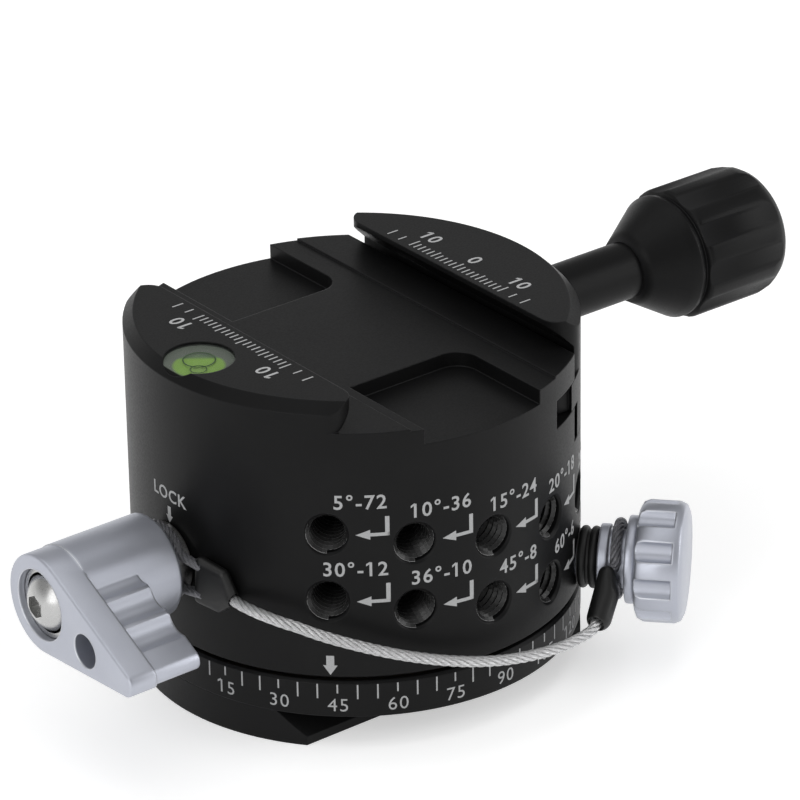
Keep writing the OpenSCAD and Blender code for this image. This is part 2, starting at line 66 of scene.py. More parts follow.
# the clamp knob's grip: what its solid is too long by, and where its straight part lies
GRIP_CUT, GRIP_MIDDLE = 5.2, 68.0

# the locking lever: places along X, from its face back to the housing
HEAD_FACE, LEVER_FACE, CUP_FLOOR, LEVER_BACK = -55.4, -54.3, -52.4, -50.0
SPINDLE_END, SHANK_HOLE_END, WING_BACK, SHANK_END, HUB_BACK = -48.1, -47.0, -42.5, -37.0, -35.3
# its outline round the spindle's axis: the large round, the tip's round, and where the tip lies
LEVER_Z = 23.9
LEVER_ROUND, LEVER_TIP, LEVER_REACH, LEVER_WAY = 7.3, 1.8, 19.9, 191.5
LEVER_SPREAD = degrees(acos((LEVER_ROUND - LEVER_TIP) / LEVER_REACH))
WING_INSET, HUB_R = 0.35, 7.45
SCALLOPS, SCALLOP_R, SCALLOP_DEPTH, SCALLOP_FIRST, SCALLOP_STEP = 3, 3.0, 0.85, 4.65, 4.75
LEVER_HOLE_R, LEVER_HOLE_REACH, LEVER_HOLE_WAY = 2.5, 10.9, 194
CUP_R, SHANK_HOLE_R, SPINDLE_HOLE_R = 5.2, 2.7, 4.02
WASHER_R, WASHER_T = 5.1, 0.8
DOME_R, DOME_SPAN, HEAD_R, SHANK_R, SOCKET_R, SOCKET_DEPTH = 4.9, 63.5, 4.4, 2.4, 1.75, 2.0

# the plunger, in the last hole of the lower row: distances out from the main axis, and radii
PLUNGER_A = radians(HOLE_COLUMNS[-1])
PLUNGER_Z = LOWER_ROW[-1]
TIP_AT, TIP_WALL, PIN_FLANGE, BORE_END, SEAT_AT = 22.5, 23.3, 24.3, 29.6, 32.1
RING_AT, NECK_AT, COLLAR_AT, KNOB_AT, LOBE_END, KNOB_END = 35.1, 36.5, 39.1, 40.6, 46.0, 47.4
PIN_BORE_R, SPRING_BORE_R, KNOB_BORE_R = 1.55, 1.9, 3.0
THREAD_R, BODY_R, RING_R, NECK_R, COLLAR_R = 2.85, 3.7, 4.9, 4.2, 6.3
RIDGES_AT, RIDGE_R, RIDGE_ROUND = (34.35, 32.85), 3.85, 0.62
KNOB_R, KNOB_ROUND, LOBES, LOBE_R, LOBE_DEPTH = 8.7, 1.2, 10, 1.6, 1.2

# the lanyard: its route between the sleeves, and the rope's and the eyes' radii
ROPE_ROUTE = [(-30.9, -12.6, 21.9), (-30.8, -14.2, 21.75), (-30.5, -15.9, 21.65), (-29.9, -17.8, 21.4),
              (-28.5, -20.6, 20.9), (-27.2, -22.2, 20.4), (-25, -24.8, 19.4),
              (-22, -27.5, 18.2), (-18.6, -29.9, 16.9), (-15, -31.8, 15.6), (-11, -33.4, 14.3),
              (-7, -34.7, 13.2), (-3, -35.6, 12.3), (1, -36.1, 11.6), (5, -36.3, 11.1),
              (8.6, -36.2, 10.8), (12, -35.6, 10.6), (13.6, -35.25, 10.55), (14.8, -34.95, 10.7),
              (16.2, -34.2, 11.0)]
ROPE_R, ROPE_LAY = 0.8, 8.5
LEVER_EYE_X, LEVER_EYE_R, PLUNGER_EYE_AT, PLUNGER_EYE_R = -33.75, 5.2, 37.75, 5.1

# the round level in the fixed jaw
LEVEL_AT, LEVEL_R, LEVEL_FLOOR, LEVEL_TOP, WINDOW_T = (-26.5, -0.3), 4.9, 44.6, 52.55, 0.2
BUBBLE_AT, BUBBLE_R = (-28.3, -2.6), 1.1

# printed marks: how far they go into the metal and stand on it, and half a line's width
INK_FOOT, INK_TOP, LINE_HALF = -0.03, 0.03, 0.11


# ---------------------------------------------------------------- camera
def photo_camera():
    """the photograph's place and lens, for a square picture"""
    turn, tilt, roll = radians(-37.666), radians(26.603), radians(-0.918)
    distance, aim_height, aim_aside, aim_above = 0.7314, 0.0294, 0.00657, 0.007409
    back = Vector((sin(turn) * cos(tilt), -cos(turn) * cos(tilt), sin(tilt)))
    right = Vector((cos(turn), sin(turn), 0))
    up = back.cross(right)
    aim = Vector((0, 0, aim_height)) + aim_aside * right + aim_above * up
    across = right * cos(roll) + up * sin(roll)
    upward = up * cos(roll) - right * sin(roll)
    place = Matrix((across, upward, back)).transposed().to_4x4()
    place.translation = aim + distance * back
    lens = bpy.data.cameras.new("photo_camera")
    lens.sensor_width = 36
    lens.lens = 232.53
    lens.clip_start = 0.05
    lens.clip_end = 20
    camera = bpy.data.objects.new("photo_camera", lens)
    camera.matrix_world = place
    scene.collection.objects.link(camera)
    scene.camera = camera


# ---------------------------------------------------------------- materials
def blank(name):
    """a new material, its node tree and its shader"""
    material = bpy.data.materials.new(name)
    material.use_nodes = True
    return material, material.node_tree, material.node_tree.nodes["Principled BSDF"]


def node(tree, kind, values=None, **settings):
    """a shader node; values go to its sockets, as numbers or as links"""
    n = tree.nodes.new("ShaderNode" + kind)
    for key, value in settings.items():
        setattr(n, key, value)
    for key, value in (values or {}).items():
        if isinstance(value, bpy.types.NodeSocket):
            tree.links.new(value, n.inputs[key])
        else:
            n.inputs[key].default_value = value
    return n


def result(tree, operation, *values):
    """one step of arithmetic on numbers"""
    return node(tree, "Math", dict(enumerate(values)), operation=operation).outputs[0]


def dot(tree, a, b):
    """how far two directions agree"""
    return node(tree, "VectorMath", {0: a, 1: b}, operation="DOT_PRODUCT").outputs["Value"]


def grain(tree, scale, detail, stretch=(1, 1, 1)):
    """noise in the object's own space, as a number from 0 to 1"""
    place = node(tree, "TexCoord").outputs["Object"]
    place = node(tree, "Mapping", {"Vector": place, "Scale": stretch}).outputs["Vector"]
    return node(tree, "TexNoise", {"Vector": place, "Scale": scale, "Detail": detail}).outputs["Fac"]


def spread(tree, value, low, high, start=0.3, end=0.7, clamp=True):
    """a number from one range laid out over another"""
    return node(tree, "MapRange", {"Value": value, "From Min": start, "From Max": end,
                                   "To Min": low, "To Max": high}, clamp=clamp).outputs["Result"]


def mixed(tree, part, a, b):
    """colour a where part is 0, going over to colour b where it is 1"""
    n = node(tree, "Mix", {0: part}, data_type="RGBA")
    for index, colour in ((6, a), (7, b)):
        if isinstance(colour, bpy.types.NodeSocket):
            tree.links.new(colour, n.inputs[index])
        else:
            n.inputs[index].default_value = (*colour, 1)
    return n.outputs[2]


def surface(tree, bsdf, colour, rough, normal=None):
    """what varies over a surface: its colour, its roughness and, where it has one, its relief"""
    tree.links.new(colour, bsdf.inputs["Base Color"])
    tree.links.new(rough, bsdf.inputs["Roughness"])
    if normal:
        tree.links.new(normal.outputs["Normal"], bsdf.inputs["Normal"])


def metal_finish(name, dark, light, edge, rough, metallic=1.0, specular=0.5, round_mm=0.25,
                 blast_depth=0.004, stretch=(1, 1, 1)):
    """a blasted or turned surface with softly broken edges, painted lighter along them as slight wear and
    painted highlight
    """
    material, tree, bsdf = blank(name)
    cloud = grain(tree, 90, 3.0)
    fine = grain(tree, 3500, 2.0, stretch)
    rounded = node(tree, "Bevel", {"Radius": round_mm * MM}, samples=8).outputs["Normal"]
    flat = node(tree, "NewGeometry").outputs["True Normal"]
    # the edges, where the rounded normal leaves the true one, take the edge colour: part wear, part painted
    # highlight
    wear_and_highlight = spread(tree, dot(tree, rounded, flat), 1.0, 0.0, 0.72, 0.97)
    base = mixed(tree, spread(tree, cloud, 0.0, 1.0), dark, light)
    bump = node(tree, "Bump", {"Height": fine, "Strength": 0.5, "Distance": blast_depth * MM,
                               "Normal": rounded})
    surface(tree, bsdf, mixed(tree, wear_and_highlight, base, edge), spread(tree, fine, rough - 0.05, rough + 0.05), bump)
    bsdf.inputs["Metallic"].default_value = metallic
    bsdf.inputs["Specular IOR Level"].default_value = specular
    return material


def marking(name, colour):
    """laser-marked lettering: pale, dry and slightly uneven"""
    material, tree, bsdf = blank(name)
    speck = grain(tree, 9000, 3.0)
    tone = mixed(tree, spread(tree, speck, 0.0, 1.0), tuple(c * 0.82 for c in colour), colour)
    surface(tree, bsdf, tone, spread(tree, speck, 0.6, 0.8))
    bsdf.inputs["Specular IOR Level"].default_value = 0.2
    return material


def drawn_wire(name, dark, light):
    """drawn wires laid side by side round each strand, on the strand's own UV map, with painted shade between
    them and painted highlight on their crests
    """
    material, tree, bsdf = blank(name)
    uv = node(tree, "SeparateXYZ", {0: node(tree, "TexCoord").outputs["UV"]})
    slant = result(tree, "MULTIPLY", uv.outputs["Y"], 9.0)
    run = result(tree, "MULTIPLY", uv.outputs["X"], 55.0)
    turns = result(tree, "MULTIPLY", result(tree, "ADD", slant, run), 2 * pi)
    ridge = result(tree, "SINE", turns)
    # painted shade in the grooves between wires, painted highlight on their crests
    tone = mixed(tree, spread(tree, ridge, 0.0, 1.0, -0.9, 0.6), dark, light)
    speck = grain(tree, 2600, 2.0)
    bump = node(tree, "Bump", {"Height": ridge, "Strength": 0.8, "Distance": 0.03 * MM})
    surface(tree, bsdf, mixed(tree, spread(tree, speck, 0.0, 0.5), tone, dark),
            spread(tree, speck, 0.28, 0.45), bump)
    bsdf.inputs["Metallic"].default_value = 0.85
    return material


def rubber(name, dark, light, rough, skin_scale=1800):
    """moulded or shrunk plastic with a faint skin"""
    material, tree, bsdf = blank(name)
    skin = grain(tree, skin_scale, 3.0)
    cloud = grain(tree, 260, 2.0)
    bump = node(tree, "Bump", {"Height": skin, "Strength": 0.35, "Distance": 0.015 * MM})
    surface(tree, bsdf, mixed(tree, spread(tree, cloud, 0.0, 1.0), dark, light),
            spread(tree, skin, rough - 0.06, rough + 0.06), bump)
    bsdf.inputs["Specular IOR Level"].default_value = 0.4
    return material


def level_liquid(name):
    """the level's green, with painted light: brighter on the side where light gathers, duller across from it,
    and grey outside the chamber
    """
    material, tree, bsdf = blank(name)
    place = node(tree, "TexCoord").outputs["Object"]
    centre = (LEVEL_AT[0] * MM, LEVEL_AT[1] * MM, 0)
    local = node(tree, "VectorMath", {0: place, 1: centre}, operation="SUBTRACT").outputs["Vector"]
    along = dot(tree, local, (-0.61, -0.79, 0))
    aside = dot(tree, local, (0.79, -0.61, 0))
    chamber = node(tree, "CombineXYZ", {"X": spread(tree, aside, -1.0, 1.0, -0.0036, 0.0036, False),
                                        "Y": spread(tree, along, -1.35, 0.95, -0.0036, 0.0048, False)})
    reach = node(tree, "VectorMath", {0: chamber.outputs[0]}, operation="LENGTH").outputs["Value"]
    cloud = grain(tree, 500, 2.0)
    # painted light: the green brightens towards the side where light gathers in the fluid
    shade = spread(tree, along, 0.0, 1.0, -0.0013, -0.0005)
    green = mixed(tree, shade, (0.085, 0.13, 0.085), (0.2, 0.37, 0.05))
    green = mixed(tree, spread(tree, cloud, 0.0, 0.25), green, (0.17, 0.28, 0.05))
    green = mixed(tree, spread(tree, reach, 0.0, 1.0, 0.93, 1.06), green, (0.1, 0.115, 0.095))
    height = node(tree, "SeparateXYZ", {0: place}).outputs["Z"]
    cut_side = spread(tree, height, 1.0, 0.0, (LEVEL_TOP - 0.3) * MM, (LEVEL_TOP - 0.22) * MM)
    tree.links.new(mixed(tree, cut_side, green, (0.006, 0.006, 0.006)), bsdf.inputs["Base Color"])
    bsdf.inputs["Roughness"].default_value = 0.4
    bsdf.inputs["Specular IOR Level"].default_value = 0.1
    return material


def clear_plastic(name, tint):
    """clear moulded plastic: a gloss, and a faint tint over what lies behind it"""
    material, tree, bsdf = blank(name)
    haze = grain(tree, 700, 2.0)
    tone = mixed(tree, spread(tree, haze, 0.0, 1.0), tint, tuple(c * 0.85 for c in tint))
    surface(tree, bsdf, tone, spread(tree, haze, 0.03, 0.09))
    bsdf.inputs["Specular IOR Level"].default_value = 0.3
    bsdf.inputs["Alpha"].default_value = 0.05
    return material


def finishes():
    """every finish on the head, by its own name"""
    return {
        # each metal's edge colour, lighter than its face, is partly wear and partly painted highlight
        "black": metal_finish("black_anodised", (0.0042, 0.0042, 0.0044), (0.0062, 0.0062, 0.0064),
                              edge=(0.022, 0.022, 0.023), rough=0.42, metallic=0.0, specular=0.14),
        "silver": metal_finish("silver_anodised", (0.45, 0.468, 0.53), (0.5, 0.518, 0.58),
                               edge=(0.74, 0.755, 0.79), rough=0.38, metallic=0.75, round_mm=0.5),
        "steel": metal_finish("ground_steel", (0.42, 0.42, 0.42), (0.5, 0.5, 0.5),
                              edge=(0.6, 0.6, 0.6), rough=0.3, stretch=(1, 1, 14)),
        "stainless": metal_finish("bright_stainless", (0.46, 0.46, 0.46), (0.54, 0.54, 0.53),
                                  edge=(0.66, 0.66, 0.66), rough=0.3, blast_depth=0.001),
        "bronze": metal_finish("bearing_bronze", (0.3, 0.2, 0.09), (0.4, 0.27, 0.12),
                               edge=(0.5, 0.36, 0.2), rough=0.35),
        "rope": drawn_wire("wire_rope", (0.42, 0.42, 0.42), (0.92, 0.92, 0.93)),
        # the same rope painted darker for the eyes: painted shade where they lie behind the hub and in the
        # plunger's groove
        "shaded_rope": drawn_wire("shaded_wire_rope", (0.1, 0.1, 0.11), (0.36, 0.36, 0.38)),
        # the thread's crests painted pale: a painted highlight along them inside the holes
        "thread": metal_finish("cut_thread", (0.014, 0.014, 0.014), (0.024, 0.024, 0.024),
                               edge=(0.6, 0.6, 0.6), rough=0.3, metallic=0.3, round_mm=0.09),
        "ink": marking("pale_marking", (0.56, 0.565, 0.57)),
        "rubber": rubber("shrunk_sleeve", (0.005, 0.005, 0.005), (0.009, 0.009, 0.009), 0.42),
        "ridges": rubber("black_ridges", (0.004, 0.004, 0.004), (0.007, 0.007, 0.007), 0.5, 900),
        "liquid": level_liquid("level_liquid"),
        "clear": clear_plastic("clear_lens", (0.5, 0.56, 0.5)),
        "ring": rubber("level_ring", (0.02, 0.06, 0.015), (0.03, 0.08, 0.02), 0.5),
    }


FINISH_OF = {
    "black": ["base_plate", "dial_ring", "head_housing", "movable_jaw", "knob_shaft"],
    "steel": ["index_drum", "bearing_outer_race", "bearing_inner_race", "bearing_balls",
              "retaining_ring", "jaw_guide_pins", "clamp_screw", "lock_spindle", "index_pin",
              "drum_screws"],
    "bronze": ["thrust_washer", "brake_shoe"],
}


def dress_frame(look):
    """each solid that stays gets its finish"""
    for finish, names in FINISH_OF.items():
        for name in names:
            for slot in nodes[name].material_slots:
                slot.material = look[finish]


# ---------------------------------------------------------------- making pieces
def held(name, bm):
    """an object that holds a finished shape"""
    mesh = bpy.data.meshes.new(name)
    bm.to_mesh(mesh)
    bm.free()
    return bpy.data.objects.new(name, mesh)


def as_mesh(thing):
    """an object's finished mesh, with its modifiers, bevel or letters made real"""
    scene.collection.objects.link(thing)
    ready = thing.evaluated_get(bpy.context.evaluated_depsgraph_get())
    mesh = bpy.data.meshes.new_from_object(ready)
    bpy.data.objects.remove(thing)
    return mesh


def settle(thing, material, body):
    """gives a piece its finish and, where it is given one, its body; one given none has none of its own"""
    scene.collection.objects.link(thing)
    thing.data.materials.clear()
    thing.data.materials.append(material)
    if body:
        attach(thing, body)
    return thing


def piece(name, bm, material, body, smooth=False):
    """a finished mesh on its body; its place is in its vertices"""
    bmesh.ops.remove_doubles(bm, verts=bm.verts, dist=1e-7)
    bmesh.ops.recalc_face_normals(bm, faces=bm.faces)
    thing = held(name, bm)
    for face in thing.data.polygons:
        face.use_smooth = smooth
    return settle(thing, material, body)


def set_in(name, bm, place, material, body, slot, *stands_for):
    """a machined piece in its place, with crisp corners and smooth rounds"""
    bmesh.ops.transform(bm, matrix=place, verts=bm.verts)
    thing = piece(name, bm, material, body, smooth=True)
    thing.data.set_sharp_from_angle(angle=radians(30))
    if stands_for:
        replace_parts(thing, *stands_for)
    return thing


def beside_plunger(s, t, z):
    """a point beside the plunger: s across its axis, t along it, z above it"""
    return (t * cos(PLUNGER_A) - s * sin(PLUNGER_A), t * sin(PLUNGER_A) + s * cos(PLUNGER_A), PLUNGER_Z + z)


def outward(height, angle=0.0):
    """from a solid made along Z to one that runs out from the main axis at this height and angle"""
    return (Matrix.Scale(MM, 4) @ Matrix.Rotation(angle, 4, "Z") @ Matrix.Translation((0, 0, height))
            @ Matrix.Rotation(radians(90), 4, "Y"))


def arc(centre, radius, start, end, step=5):
    """points on a circle from one angle to another, in degrees"""
    cuts = max(1, ceil(abs(end - start) / step))
    return [(centre[0] + radius * cos(radians(start + (end - start) * i / cuts)),
             centre[1] + radius * sin(radians(start + (end - start) * i / cuts))) for i in range(cuts + 1)]


def turned(profile, steps=96):
    """a solid of revolution about Z from (radius, height) pairs in millimetres"""
    bm = bmesh.new()
    line = [bm.verts.new((r, 0, t)) for r, t in profile]
    rim = [bm.edges.new(pair) for pair in zip(line, line[1:])]
    if profile[0][0] and profile[-1][0]:
        rim.append(bm.edges.new((line[-1], line[0])))
    bmesh.ops.spin(bm, geom=line + rim, cent=(0, 0, 0), axis=(0, 0, 1), angle=2 * pi, steps=steps,
                   use_merge=True)
    bmesh.ops.remove_doubles(bm, verts=bm.verts, dist=1e-5)
    bmesh.ops.recalc_face_normals(bm, faces=bm.faces)
    return bm


def verts_in(geometry):
    """the vertices of a mixed list"""
    return [g for g in geometry if isinstance(g, bmesh.types.BMVert)]


def pulled_up(bm, outline, start, end):
    """adds a solid with this outline, drawn from one height to another"""
    face = bm.faces.new([bm.verts.new((x, y, start)) for x, y in outline])
    far = bmesh.ops.extrude_face_region(bm, geom=[face])["geom"]
    bmesh.ops.translate(bm, vec=(0, 0, end - start), verts=verts_in(far))


def slab(outline, start, end, round_over=0.0):
    """an outline drawn in X and Y made solid along Z, its edges at the start rounded over"""
    bm = bmesh.new()
    pulled_up(bm, outline, end, start)
    if round_over:
        rim = [e for e in bm.edges if all(abs(v.co.z - start) < 1e-6 for v in e.verts)]
        bmesh.ops.bevel(bm, geom=rim, offset=round_over, segments=4, profile=0.5, affect="EDGES", material=-1)
    bmesh.ops.recalc_face_normals(bm, faces=bm.faces)
    return bm


def rod(radius, start, end, at=(0, 0), steps=64):
    """a plain round bar along Z"""
    return slab(arc(at, radius, 0, 360 - 360 / steps, 360 / steps), start, end)


def carved(base, joined=(), removed=(), kept=()):
    """a solid with others joined to it, then cut out of it, or cut back to what they hold"""
    shape = held("solid", base)
    tools = []
    for operation, solids in (("UNION", joined), ("DIFFERENCE", removed), ("INTERSECT", kept)):
        for solid in solids:
            tool = held("solid", solid)
            scene.collection.objects.link(tool)
            tools.append(tool)
            step = shape.modifiers.new(operation, "BOOLEAN")
            step.operation = operation
            step.solver = "MANIFOLD"
            step.object = tool
    mesh = as_mesh(shape)
    for tool in tools:
        bpy.data.objects.remove(tool)
    bm = bmesh.new()
    bm.from_mesh(mesh)
    bpy.data.meshes.remove(mesh)
    return bm


# ---------------------------------------------------------------- lanyard
def smooth_line(points, step):
    """points at most a step apart on one smooth curve through the given points, in metres"""
    p = [Vector(q) * MM for q in points]
    p = [2 * p[0] - p[1]] + p + [2 * p[-1] - p[-2]]
    line = []
    for a, b, c, d in zip(p, p[1:], p[2:], p[3:]):
        cuts = max(1, ceil((c - b).length / (step * MM)))
        for i in range(cuts):
            t = i / cuts
            line.append(0.5 * ((2 * b) + (c - a) * t + (2 * a - 5 * b + 4 * c - d) * t * t
                               + (3 * b - a - 3 * c + d) * t ** 3))
    return line + [p[-2]]


def twisted(name, points, radius, lay, step=0.4):
    """wire rope along a route: six strands wound round a core, one turn in each lay, in millimetres"""
    line = smooth_line(points, step)
    strand = radius * MM / 3
    side = Vector((0.2, 0.3, 1)).normalized()
    curve = bpy.data.curves.new(name, "CURVE")
    curve.dimensions = "3D"
    curve.bevel_depth = strand
    curve.bevel_resolution = 2
    curve.use_fill_caps = True
    routes = [[] for _ in range(7)]
    travelled = 0.0
    for i, point in enumerate(line):
        heading = (line[min(i + 1, len(line) - 1)] - line[max(i - 1, 0)]).normalized()
        side = (side - heading * side.dot(heading)).normalized()
        other = heading.cross(side)
        if i:
            travelled += (point - line[i - 1]).length
        for k in range(6):
            angle = 2 * pi * (travelled / (lay * MM) + k / 6)
            routes[k].append(point + 2 * strand * (cos(angle) * side + sin(angle) * other))
        routes[6].append(point)
    for route in routes:
        spline = curve.splines.new("POLY")
        spline.points.add(len(route) - 1)
        for place, target in zip(route, spline.points):
            target.co = (*place, 1)
    mesh = as_mesh(bpy.data.objects.new(name, curve))
    for face in mesh.polygons:
        face.use_smooth = True
    return bpy.data.objects.new(name, mesh), line


def lanyard(look):
    """the wire rope between its two sleeves, shown from end to end, with the eyes and sleeves on it"""
    fittings = lanyard_eyes(look) + sleeves(look)
    rope, line = twisted("lanyard_wire", ROPE_ROUTE, ROPE_R, ROPE_LAY)
    settle(rope, look["rope"], None)
    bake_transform(rope)
    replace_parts(rope, "lanyard_rope")


def lanyard_eyes(look):
    """the loops round the lever's spindle and in the plunger's groove"""
    loop = [(LEVER_EYE_X, LEVER_EYE_R * cos(radians(a)), LEVER_Z + LEVER_EYE_R * sin(radians(a)))
            for a in range(150, -151, -15)]
    points = [(-32.7, -8.0, 25.6)] + loop + [(-32.7, -8.0, 21.4)]
    lever_eye, _ = twisted("lever_eye_wire", points, 0.74, 5.5, 0.5)
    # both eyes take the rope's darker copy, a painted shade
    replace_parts(settle(lever_eye, look["shaded_rope"], "head"), "lever_eye")
    loop = [beside_plunger(PLUNGER_EYE_R * cos(radians(a)), PLUNGER_EYE_AT, PLUNGER_EYE_R * sin(radians(a)))
            for a in range(165, -166, -15)]
    points = [beside_plunger(-6.4, 37.0, 0.7)] + loop + [beside_plunger(-6.7, 37.0, -0.9)]
    plunger_eye, _ = twisted("plunger_eye_wire", points, ROPE_R, 6.5, 0.5)
    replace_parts(settle(plunger_eye, look["shaded_rope"], "plunger_carrier"), "plunger_eye")
    return [lever_eye, plunger_eye]


def stretched_over(balls):
    """a tight skin round balls, each with a centre and a radius"""
    bm = bmesh.new()
    for centre, radius in balls:
        bmesh.ops.create_icosphere(bm, subdivisions=3, radius=radius * MM,
                                   matrix=Matrix.Translation(Vector(centre) * MM))
    hull = bmesh.ops.convex_hull(bm, input=bm.verts)
    inside = set(verts_in(hull["geom_interior"] + hull["geom_unused"]))
    bmesh.ops.delete(bm, geom=list(inside), context="VERTS")
    return bm


def flared_drill(start, end, radius):
    """a drill from one point to another, slightly wider at its end"""
    axis = (Vector(end) - Vector(start)) * MM
    middle = Matrix.Translation((Vector(start) + Vector(end)) * MM / 2)
    bm = bmesh.new()
    bmesh.ops.create_cone(bm, cap_ends=True, segments=32, radius1=radius * MM, radius2=radius * MM * 1.15,
                          depth=axis.length,
                          matrix=middle @ axis.to_track_quat("Z", "Y").to_matrix().to_4x4())
    return bm


def shrunk(name, balls, mouth, look, body, stands_for):
    """a sleeve pulled tight over what it holds, with an open mouth round the rope"""
    shape = held(name, stretched_over(balls))
    cutter = held(name + "_drill", flared_drill(*mouth))
    scene.collection.objects.link(cutter)
    cut = shape.modifiers.new("mouth", "BOOLEAN")
    cut.operation = "DIFFERENCE"
    cut.object = cutter
    skin = shape.modifiers.new("skin", "REMESH")
    skin.mode = "VOXEL"
    skin.voxel_size = 0.13 * MM
    skin.use_smooth_shade = True
    relax = shape.modifiers.new("relax", "SMOOTH")
    relax.factor = 0.5
    relax.iterations = 4
    finished = as_mesh(shape)
    bpy.data.objects.remove(cutter)
    sleeve = settle(bpy.data.objects.new(name, finished), look["rubber"], body)
    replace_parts(sleeve, stands_for)
    return sleeve


def sleeves(look):
    """a flat sleeve at the lever's end of the rope, and a longer one at the plunger's"""
    corners = [(-32.4, -7.6, 26.1), (-31.4, -11.1, 25.3), (-31.1, -12, 23.4), (-31.6, -10.4, 20.2),
               (-32.5, -7.3, 20.6)]
    balls = [(corner, 0.9) for corner in corners] + [((-30.95, -12.3, 22), 1.1)]
    mouth = ((-30.95, -11.8, 22.0), (-30.7, -15, 21.7), 0.92)
    lever_end = shrunk("lever_sleeve", balls, mouth, look, "head", "lever_sleeve_crimp")
    balls = [(beside_plunger(-6.3, 36.8, 0.8), 1.2), (beside_plunger(-8, 37, -1.5), 1.8),
             (beside_plunger(-10.6, 36.3, -4), 1.8)]
    mouth = ((16.2, -34.2, 10.95), (14.2, -35.1, 10.6), 1.15)
    plunger_end = shrunk("plunger_sleeve", balls, mouth, look, "plunger_carrier", "plunger_sleeve_crimp")
    return [lever_end, plunger_end]


# ---------------------------------------------------------------- springs
def springs(look):
    """the jaw's and the pin's coil springs, which push two pieces apart, each copied from its solid without a
    body of its own
    """
    low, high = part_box("jaw_spring")
    steady, pushed = [Vector(beside_plunger(0, t, 0)) * MM for t in (BORE_END, PIN_FLANGE)]
    for name, solid, a, b, start, end in (
            ("jaw_coil_spring", "jaw_spring", "head", "jaw", low, Vector((high.x, low.y, low.z))),
            ("pin_coil_spring", "pin_spring", "plunger", "pin", steady, pushed)):
        bm = bmesh.new()
        bm.from_mesh(nodes[solid].data)
        spring = piece(name, bm, look["steel"], None, smooth=True)
        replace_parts(spring, solid)
        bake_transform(spring)


# ---------------------------------------------------------------- clamp knob
def short_grip(look):
    """the fluted grip, its straight part shorter than the solid's"""
    bm = bmesh.new()
    bm.from_mesh(nodes["knob_grip"].data)
    bmesh.ops.remove_doubles(bm, verts=bm.verts, dist=1e-6)
    far = [v for v in bm.verts if v.co.x > GRIP_MIDDLE * MM]
    bmesh.ops.translate(bm, vec=(-GRIP_CUT * MM, 0, 0), verts=far)
    set_in("short_grip", bm, Matrix.Identity(4), look["black"], "knob", "black_aluminium", "knob_grip")


# ---------------------------------------------------------------- locking lever
def lever_outline(inset):
    """the large round and the tip's round, drawn in by the inset"""
    tip = [LEVER_REACH * f(radians(LEVER_WAY)) for f in (cos, sin)]
    return (arc((0, 0), LEVER_ROUND - inset, LEVER_WAY + LEVER_SPREAD, LEVER_WAY + 360 - LEVER_SPREAD)
            + arc(tip, LEVER_TIP - inset, LEVER_WAY - LEVER_SPREAD, LEVER_WAY + LEVER_SPREAD))


def scallops():
    """tools for the finger's scallops along the lever's lower edge"""
    way = radians(LEVER_WAY - LEVER_SPREAD)
    off, along = Vector((cos(way), sin(way))), Vector((-sin(way), cos(way)))
    aside = LEVER_ROUND - WING_INSET + SCALLOP_R - SCALLOP_DEPTH
    return [rod(SCALLOP_R, LEVER_BACK, WING_BACK + 1,
                aside * off + (SCALLOP_FIRST + i * SCALLOP_STEP) * along) for i in range(SCALLOPS)]


def lever(look):
    """a tapered face plate, a finger wing with three scallops behind it, and the hub"""
    wing = slab(lever_outline(WING_INSET), WING_BACK, LEVER_BACK - 0.01, 0.3)
    face = slab(lever_outline(0), LEVER_FACE, LEVER_BACK, 0.35)
    hub = turned([(0, LEVER_BACK - 0.02), (HUB_R, LEVER_BACK - 0.02), (HUB_R, HUB_BACK - 0.5),
                  (HUB_R - 0.5, HUB_BACK), (0, HUB_BACK)])
    hole = [LEVER_HOLE_REACH * f(radians(LEVER_HOLE_WAY)) for f in (cos, sin)]
    wing = carved(wing, removed=scallops())
    bm = carved(face, joined=[wing, hub],
                removed=[rod(CUP_R, LEVER_FACE - 1, CUP_FLOOR),
                         rod(SHANK_HOLE_R, CUP_FLOOR - 1, SHANK_HOLE_END),
                         rod(SPINDLE_HOLE_R, SPINDLE_END, HUB_BACK + 1),
                         rod(LEVER_HOLE_R, LEVER_FACE - 1, WING_BACK + 1, hole)])
    place = Matrix(((0, 0, MM, 0), (MM, 0, 0, 0), (0, MM, 0, LEVER_Z * MM), (0, 0, 0, 1)))
    set_in("finger_lever", bm, place, look["silver"], "lever", "silver_aluminium", "lock_lever")
    seat = CUP_FLOOR - WASHER_T
    washer = turned([(SHANK_HOLE_R, seat), (WASHER_R, seat), (WASHER_R, CUP_FLOOR),
                     (SHANK_HOLE_R, CUP_FLOOR)])
    set_in("cup_washer", washer, outward(LEVER_Z), look["stainless"], "lever", "stainless", "lever_washer")
    dome = [(r, x) for x, r in arc((HEAD_FACE + DOME_R, 0), DOME_R, 180, 180 - DOME_SPAN)]
    screw = turned([(0, HEAD_FACE)] + dome[1:] + [(HEAD_R, seat), (SHANK_R, seat), (SHANK_R, SHANK_END),
                                                  (0, SHANK_END)])
    socket = rod(SOCKET_R, HEAD_FACE - 1, HEAD_FACE + SOCKET_DEPTH, steps=6)
    set_in("dome_screw", carved(screw, removed=[socket]), outward(LEVER_Z), look["stainless"], "lever",
           "stainless", "lever_screw")


